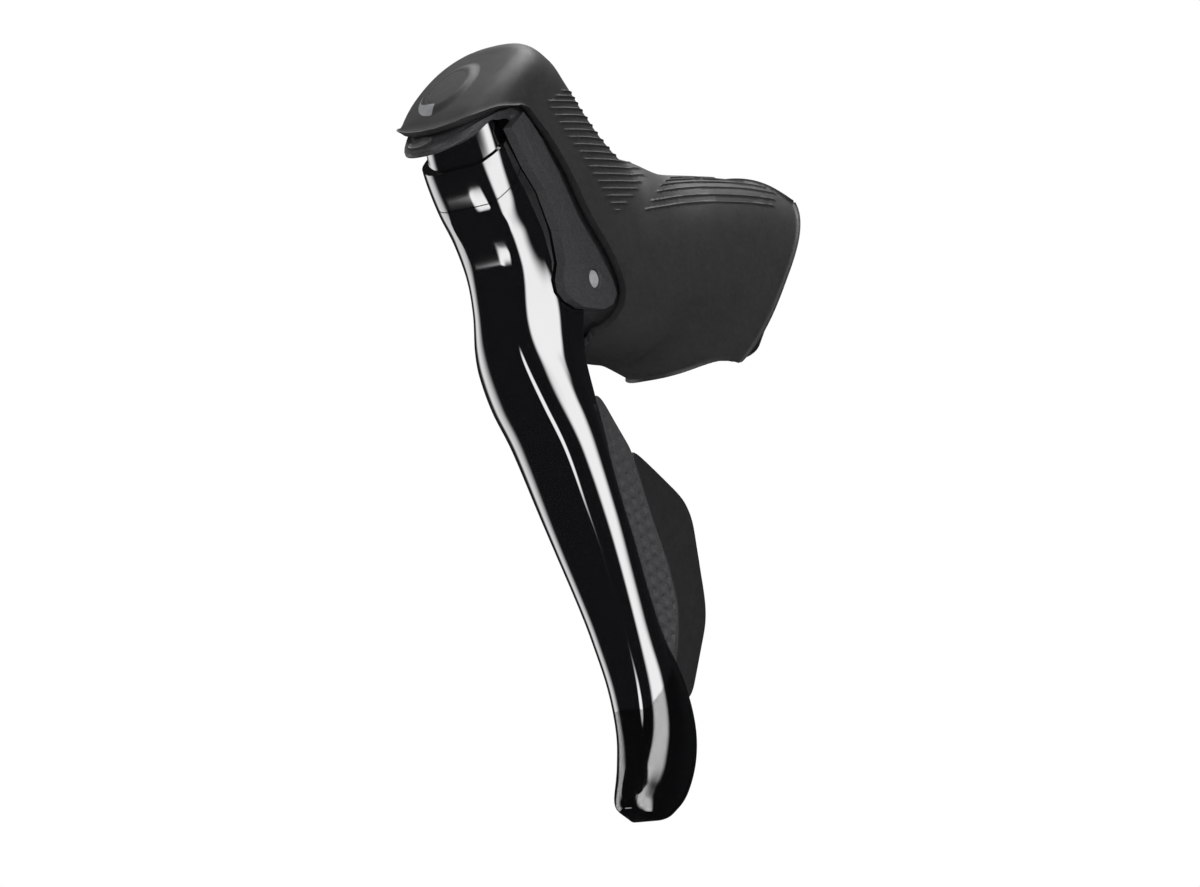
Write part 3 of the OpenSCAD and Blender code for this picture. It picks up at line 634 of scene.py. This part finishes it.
def rounded(outline, radius, steps=5, between=1):
    """Outline with round corners. steps counts the points in a corner, between those up to the next one."""
    rows = np.asarray(outline, float)
    radius, steps, between = (np.broadcast_to(v, len(rows)) for v in (radius, steps, between))
    ends = []
    for i, b in enumerate(rows):
        for other in (rows[i - 1], rows[(i + 1) % len(rows)]):
            gap = other - b
            size = np.linalg.norm(gap)
            ends.append(b + gap / size * min(radius[i], size * 0.45))
    out = []
    for i, b in enumerate(rows):
        p, q, after = ends[2 * i], ends[2 * i + 1], ends[(2 * i + 2) % len(ends)]
        out += [(1 - t) ** 2 * p + 2 * t * (1 - t) * b + t**2 * q for t in np.linspace(0, 1, int(steps[i]))]
        out += [q + (after - q) * t for t in np.linspace(0, 1, int(between[i]) + 1)[1:-1]]
    return np.array(out)


# Front of the blade section at a few heights. Across is a share of the half width, outboard negative.
# Back is in mm.
SHOULDER = np.array([    # height, start across, start back, end across, end back, side across, side back
    [28, -0.52, 0.2, -0.90, 3.4, -1.02, 5.6], [17, -0.64, 0.2, -0.93, 3.0, -1.02, 5.0],
    [9, -0.66, 0.2, -0.92, 2.9, -1.02, 5.0], [1, -0.57, 0.2, -0.82, 2.7, -0.99, 5.6],
    [-7, -0.42, 0.2, -0.60, 2.2, -0.96, 6.6], [-13, -0.42, 0.5, -0.60, 2.5, -0.98, 6.8],
    [-18, -0.52, 0.95, -0.74, 3.2, -1.0, 6.6], [-29, -0.67, 1.0, -0.98, 3.9, -1.08, 6.2],
    [-38, -0.88, 1.1, -1.15, 4.1, -1.21, 6.4], [-52, -0.97, 1.1, -1.23, 3.6, -1.27, 5.4],
    [-65, -0.97, 1.0, -1.22, 3.5, -1.27, 5.4], [-83, -0.93, 1.0, -1.22, 3.5, -1.28, 6.0],
    [-92, -0.84, 1.0, -1.28, 3.9, -1.34, 7.0], [-101, -0.78, 1.0, -1.28, 4.2, -1.36, 7.5],
    [-109, -0.70, 1.0, -1.22, 4.2, -1.30, 7.5]])
CREASE = np.array([      # height, across, step back
    [-12, -0.16, 0.02], [-17, -0.20, 0.70], [-31, -0.45, 0.86], [-42, -0.56, 0.74], [-58, -0.57, 0.50],
    [-83, -0.51, 0.46], [-92, -0.44, 0.6], [-100, -0.37, 0.85], [-105, -0.31, 0.04]])
INBOARD = np.array([     # height, drop of the rounded side in mm, growth of the half width
    [28, 3.2, 0.5], [18, 3.1, 0.5], [9, 2.9, 0.0], [-6, 2.4, 0.3], [-13, 3.0, 1.0], [-21, 4.6, 3.0],
    [-34, 4.4, 2.7], [-47, 3.9, 2.6], [-60, 2.9, 2.1], [-80, 2.6, 1.0], [-100, 2.4, 0.5]])


def soft(table, height):
    """Table row at a height, averaged over 10 mm so that it changes smoothly."""
    near = height + np.linspace(-5, 5, 11)
    return [np.interp(-near, -table[:, 0], column).mean() for column in table[:, 1:].T]


def blade_section(s, down, inset, back):
    """Section of the blade. back is how far it is carried out to the rear, to cut a channel open."""
    rear = np.array([-down[1], down[0]]) / np.linalg.norm(down)
    half, deep = s[3], s[4]
    small = min(1, half / 5.5, deep / 9)
    start_q, start_p, end_q, end_p, side_q, side_p = soft(SHOULDER, s[1])
    crease_q, step = soft(CREASE, s[1])
    drop, growth = soft(INBOARD, s[1])
    wide, drop = half + growth * small, drop * small
    # corner across, corner back, rounding, points in the rounding, points on to the next corner
    corners = np.array([
        [wide - 0.5 - growth * 0.4, deep, 0.5, 4, 7], [wide, drop, 0.5 * drop, 9, 4],
        [wide - 1.03 * drop, 0.18 * drop, 0.5 * drop, 9, 4], [wide - 1.75 * drop, 0, 0.4 * drop, 9, 16],
        [crease_q * half, 0, 0.28, 5, 2], [crease_q * half - 0.75 * small, step * small, 0.32, 5, 6],
        [start_q * half, start_p * small, 1.6, 9, 4], [end_q * half, end_p * small, 1.8, 9, 4],
        [side_q * half, side_p * small, 1.6, 8, 7], [-half, deep, 0.5, 4, 14]])
    corners[:, 0] *= (half - inset) / half
    corners[:, 1] = inset + corners[:, 1] / deep * (deep - inset + (back if back else -inset))
    q, p = rounded(corners[:, :2], corners[:, 2], corners[:, 3], corners[:, 4]).T
    return np.stack([s[0] + rear[0] * p, s[2] + q, s[1] + rear[1] * p], axis=1)


def blade_solid(rows, inset, back, step, extend=False):
    rows = np.array(rows, float)
    if extend:
        rows = np.vstack([2 * rows[0] - rows[1], rows])
    rows = curve(rows, step)
    rings = []
    for i, s in enumerate(rows):
        if s[1] > TIP_FROM:
            down = rows[min(i + 1, len(rows) - 1)] - rows[max(i - 1, 0)]
        rings.append(blade_section(s, down[:2], inset, back))
    count = len(rings[0])
    faces = grid_faces(len(rings), count)
    faces.append([(len(rings) - 1) * count + j for j in range(count)])
    faces.append(list(range(count - 1, -1, -1)))
    return np.vstack(rings), [f[::-1] for f in faces]


def half_space(at, slope, lift, above):
    """Box that fills one side of the plane through a side-view point, leaning by slope."""
    along = np.array([math.cos(slope), 0, math.sin(slope)])
    out = np.array([-math.sin(slope), 0, math.cos(slope)])
    origin = np.array([at[0], 0, at[1]]) + out * lift
    span = [0, 80] if above else [-80, 0]
    corners = [origin + along * u + np.array([0, v, 0]) + out * w
               for w in span for u, v in ((-80, -40), (80, -40), (80, 40), (-80, 40))]
    faces = [[3, 2, 1, 0], [4, 5, 6, 7], [0, 1, 5, 4], [1, 2, 6, 5], [2, 3, 7, 6], [3, 0, 4, 7]]
    return new_object("cutter", np.array(corners), faces)


def y_cylinder(at, radius, half_length, sides=64):
    a = np.linspace(0, 2 * math.pi, sides, endpoint=False)
    ring = np.stack([at[0] + radius * np.cos(a), np.zeros(sides), at[2] + radius * np.sin(a)], axis=1)
    points = np.vstack([ring + [0, half_length, 0], ring - [0, half_length, 0]])
    faces = [[j, j + sides, (j + 1) % sides + sides, (j + 1) % sides][::-1] for j in range(sides)]
    faces += [list(range(sides))[::-1], [j + sides for j in range(sides)]]
    return new_object("cutter", points, faces)


BUTTON_FLARE = math.radians(12.24)


def from_button(points):
    """Button frame to the row frame: X to the rear, Y inboard from the outer face, Z up the blade."""
    x, y, z = np.asarray(points, float).T
    c, s = math.cos(BUTTON_FLARE), math.sin(BUTTON_FLARE)
    return np.stack([x, -8 + c * y + s * z, -30 - s * y + c * z], axis=1)


SEAT = [[-57.2, 6], [-57.2, -59.6], [-53.8, -63.8], [-50.6, -67.6], [-20, -67.6], [-20, 6]]


def prism(outline, y0, y1):
    """Closed prism in the button frame."""
    n = len(outline)
    points = [[x, y0, z] for x, z in outline] + [[x, y1, z] for x, z in outline]
    faces = [[j, (j + 1) % n, (j + 1) % n + n, j + n] for j in range(n)]
    faces += [list(range(n))[::-1], [j + n for j in range(n)]]
    return new_object("cutter", from_button(points), faces)


def build_blade():
    outer = blade_solid(BLADE_STATIONS, 0, 0, 0.8)
    blade = new_object("blade_skin", *outer)
    combine(blade, half_space(SEAM_AT, SEAM_SLOPE, -0.15, True))
    core = new_object("core", *blade_solid(BLADE_STATIONS[:6], 1.45, 0, 0.8, extend=True))
    combine(core, half_space(SEAM_AT, SEAM_SLOPE, -0.3, False))
    combine(blade, core, "UNION")
    channel = new_object("channel", *blade_solid(BLADE_STATIONS[:CHANNEL_END + 1], BLADE_WALL, 4, 1.2))
    combine(blade, channel)
    combine(blade, y_cylinder(PIVOT, 5.6, 30))
    combine(blade, prism(SEAT, -8, 9.2), sharp=40)
    show(blade, "lever", GLOSS, "gloss_black", "lever_blade")
    plate = new_object("name_plate_skin", *outer)
    combine(plate, half_space(SEAM_AT, SEAM_SLOPE, 0.05, False))
    combine(plate, half_space(PLATE_TOP_AT, PLATE_TOP_SLOPE, 0, True))
    hollow = new_object("hollow", *blade_solid(BLADE_STATIONS[:8], 1.3, 0, 0.8, extend=True))
    combine(plate, hollow, sharp=40)
    show(plate, "lever", GLOSS, "gloss_black", "name_plate")


# ---- shift buttons -------------------------------------------------------------------------------
def plate(name, outline, step, edge, front, back):
    """Plate in the button frame from an outline. front and back give Y from position and edge distance."""
    low, high = outline.min(0) - step, outline.max(0) + step
    xs, zs = np.arange(low[0], high[0] + step, step), np.arange(low[1], high[1] + step, step)
    gx, gz = np.meshgrid(xs, zs, indexing="ij")
    flat = np.stack([gx.ravel(), gz.ravel()], axis=1)
    faces = [f[::-1] for f in grid_faces(len(xs), len(zs), closed=False)]
    value = -outline_distance(flat, outline)
    flat, faces = keep(flat, faces, np.where(value > -step * 1.5, 1.0, -1.0))
    flat, faces = split_along(flat, faces, -outline_distance(flat, outline))
    flat, faces = keep(flat, faces, -outline_distance(flat, outline))
    for inside in (0.05 * edge, 0.25 * edge, 0.6 * edge, edge):
        value = -outline_distance(flat, outline) - inside
        flat, faces = split_along(flat, faces, value, np.abs(value) < 3 * step)
    room = np.maximum(-outline_distance(flat, outline), 0)
    t = np.clip(edge - room, 0, edge)
    drop = edge - np.sqrt(np.maximum(edge**2 - t**2, 0))
    outer = np.stack([flat[:, 0], front(flat, room) + drop, flat[:, 1]], axis=1)
    inner = np.stack([flat[:, 0], back(flat, room) - drop * 0.5, flat[:, 1]], axis=1)
    points, faces = thicken(outer, faces, inner)
    return new_object(name, from_button(points), faces, sharp=45)


FRONT_OUTLINE = [
    [-55.6, 4], [-53.4, 2.8], [-50.2, -3.1], [-47, -8.7], [-45.3, -24], [-43.4, -34], [-43.1, -44],
    [-45.7, -51], [-50, -59.3], [-52.8, -60.2], [-55.4, -57.6], [-55.7, -50], [-55.6, -30], [-55.6, -9.3],
    [-56.2, 0]]
REAR_OUTLINE = [
    [-46.5, -8.6], [-44, -8.9], [-38, -13.2], [-30.6, -18.8], [-28.9, -23.6], [-31.4, -43.5],
    [-33.2, -48.6], [-44, -64.8], [-47, -66.8], [-49.6, -66.8], [-52.2, -63.2], [-52, -61.3], [-49.6, -60.3],
    [-45, -51.3], [-42.4, -44.2], [-42.7, -33.8], [-44.6, -23.8]]
DIMPLE_ROW, DIMPLE_COLUMN = 3.0, 3.1


def dimples(flat, room):
    """Depth of the scale-like dimples, in staggered columns that grow towards the bottom."""
    depth = np.zeros(len(flat))
    for c in range(5):
        for k in range(22):
            x = -53.6 + DIMPLE_COLUMN * c
            z = 1.5 - DIMPLE_ROW * (k + 0.5 * (c % 2))
            radius = 0.75 + 0.4 * min(1, max(0, -z) / 30)
            d = flat - [x, z]
            r = np.linalg.norm(d, axis=1)
            lean = 0.55 + 0.45 * (-d[:, 0] * 0.75 + d[:, 1] * 0.66) / radius
            depth = np.maximum(depth, 0.42 * radius * lean * (1 - smoothstep(r, radius * 0.78, radius)))
    return depth * smoothstep(room, 0.7, 1.5)


def build_buttons():
    front = plate("front_button_skin", rounded(FRONT_OUTLINE, 2.2), 0.33, 0.5,
                  lambda f, room: dimples(f, room), lambda f, room: np.full(len(f), 3.2))
    rear = plate("rear_button_skin", rounded(REAR_OUTLINE, 3.0), 0.7, 0.6,
                 lambda f, room: np.full(len(f), 0.8), lambda f, room: np.full(len(f), 4.4))
    return front, rear


# ---- everything ----------------------------------------------------------------------------------
build_hood()
build_arms()
build_blade()
front_skin, rear_skin = build_buttons()
show(front_skin, "front_button", BUTTON, "button_grip", "front_button")
show(rear_skin, "rear_button", SATIN, "button_smooth", "rear_button")

FINISHES = {
    NYLON: ["bracket_body", "reservoir_cover", "switch_housing", "battery_cover"],
    PIN_STEEL: ["pivot_pin"],
    STEEL: ["clamp_band", "clamp_nut", "coin_cell", "piston_spring", "roller_pin", "push_roller",
            "return_spring", "button_axle", "front_button_spring", "rear_button_spring", "retaining_ring",
            "pushrod"],
    DARK_STEEL: ["clamp_bolt", "pin_set_screw", "cover_screws", "battery_cover_screws", "blade_screws",
                 "reach_screw", "bleed_screw"],
    ALLOY: ["cylinder_sleeve", "cylinder_plug", "piston", "lever_yoke", "hose_nut"],
    BRASS: ["hose_olive"],
    BRONZE: ["pivot_bushes"],
    BOARD: ["circuit_board", "switch_board"],
    SEAL: ["reservoir_diaphragm", "port_plugs", "piston_seals"],
    SATIN: ["remote_switch", "rear_button"],
    BUTTON: ["front_button"],
}
for finish, names in FINISHES.items():
    for name in names:
        nodes[name].data.materials.clear()
        nodes[name].data.materials.append(finish)


# ---- studio --------------------------------------------------------------------------------------
def studio_world():
    world = bpy.data.worlds.new("studio")
    bpy.context.scene.world = world
    world.use_nodes = True
    tree = world.node_tree
    tree.nodes.clear()
    out = tree.nodes.new("ShaderNodeOutputWorld")
    mix = tree.nodes.new("ShaderNodeMixShader")
    path = tree.nodes.new("ShaderNodeLightPath")
    seen, fill = tree.nodes.new("ShaderNodeBackground"), tree.nodes.new("ShaderNodeBackground")
    seen.inputs["Color"].default_value = (1, 1, 1, 1)
    fill.inputs["Color"].default_value = (0.9, 0.95, 1, 1)
    dim = tree.nodes.new("ShaderNodeMath")           # the studio is darker in reflections
    dim.operation = "MULTIPLY_ADD"
    dim.inputs[1].default_value, dim.inputs[2].default_value = -0.10, 0.12
    tree.links.new(path.outputs["Is Glossy Ray"], dim.inputs[0])
    tree.links.new(dim.outputs["Value"], fill.inputs["Strength"])
    tree.links.new(path.outputs["Is Camera Ray"], mix.inputs["Fac"])
    tree.links.new(fill.outputs["Background"], mix.inputs[1])
    tree.links.new(seen.outputs["Background"], mix.inputs[2])
    tree.links.new(mix.outputs["Shader"], out.inputs["Surface"])


AZIMUTH, ELEVATION, ROLL = math.radians(-51.9), math.radians(-7.5), math.radians(3.1)
CAMERA_AT = Vector((-0.7611, -0.5608, -0.1555))
LENS = 122.7
CAMERA_BACK = Vector((math.sin(AZIMUTH) * math.cos(ELEVATION), -math.cos(AZIMUTH) * math.cos(ELEVATION),
                      math.sin(ELEVATION)))
LEVEL = Vector((0, 0, 1)).cross(CAMERA_BACK).normalized()
UPRIGHT = CAMERA_BACK.cross(LEVEL)
CAMERA_RIGHT = LEVEL * math.cos(ROLL) - UPRIGHT * math.sin(ROLL)
CAMERA_UP = LEVEL * math.sin(ROLL) + UPRIGHT * math.cos(ROLL)
AIM = Vector((-0.05, -0.005, -0.03))


def softbox(name, right, up, back, width, height, power, graded=True):
    """Area light placed from the aim point along the camera's right, up and back axes. A graded one is dark
    at its sides and bright in the middle."""
    data = bpy.data.lights.new(name, "AREA")
    data.shape, data.size, data.size_y, data.energy = "RECTANGLE", width, height, power
    if graded:
        data.use_nodes = True
        tree = data.node_tree
        place, part = tree.nodes.new("ShaderNodeNewGeometry"), tree.nodes.new("ShaderNodeSeparateXYZ")
        fade = tree.nodes.new("ShaderNodeValToRGB")
        fade.color_ramp.interpolation = "EASE"
        for element, position in zip(fade.color_ramp.elements, (0.0, 1.0)):
            element.position, element.color = position, (0, 0, 0, 1)
        for position in (0.36, 0.64):
            fade.color_ramp.elements.new(position).color = (1, 1, 1, 1)
        tree.links.new(place.outputs["Parametric"], part.inputs["Vector"])
        tree.links.new(part.outputs["X"], fade.inputs["Fac"])
        tree.links.new(fade.outputs["Color"], tree.nodes["Emission"].inputs["Strength"])
    light = bpy.data.objects.new(name, data)
    light.visible_camera = False
    light.location = AIM + CAMERA_RIGHT * right + CAMERA_UP * up + CAMERA_BACK * back
    light.rotation_mode = "QUATERNION"
    light.rotation_quaternion = (AIM - light.location).to_track_quat("-Z", "Y")
    bpy.context.scene.collection.objects.link(light)


def camera():
    data = bpy.data.cameras.new("camera")
    data.sensor_width, data.lens = 36, LENS
    obj = bpy.data.objects.new("camera", data)
    obj.matrix_world = Matrix.Translation(CAMERA_AT) @ Matrix(
        (CAMERA_RIGHT, CAMERA_UP, CAMERA_BACK)).transposed().to_4x4()
    bpy.context.scene.collection.objects.link(obj)
    bpy.context.scene.camera = obj


def pale_floor():
    size, level = 3.0, -0.17
    mesh = bpy.data.meshes.new("floor")
    mesh.from_pydata([(-size, -size, level), (size, -size, level), (size, size, level), (-size, size, level)],
                     [], [(0, 1, 2, 3)])
    floor = bpy.data.objects.new("floor", mesh)
    floor.visible_glossy = False
    mesh.materials.append(material("pale_floor", (0.72, 0.72, 0.72), 0.7, mottle=0.01, mottle_scale=20))
    bpy.context.scene.collection.objects.link(floor)


studio_world()
camera()
pale_floor()
softbox("front_box", 0.3, 0.05, 1.2, 1.2, 3.0, 40)
softbox("left_box", -1.05, -0.1, -0.62, 1.3, 1.6, 12)
softbox("top_box", 0.2, 1.2, -0.55, 1.2, 0.8, 22, False)
softbox("low_spot", -0.95, -0.71, 0.23, 0.16, 0.16, 0.3)
bpy.context.scene.view_settings.view_transform = "Standard"
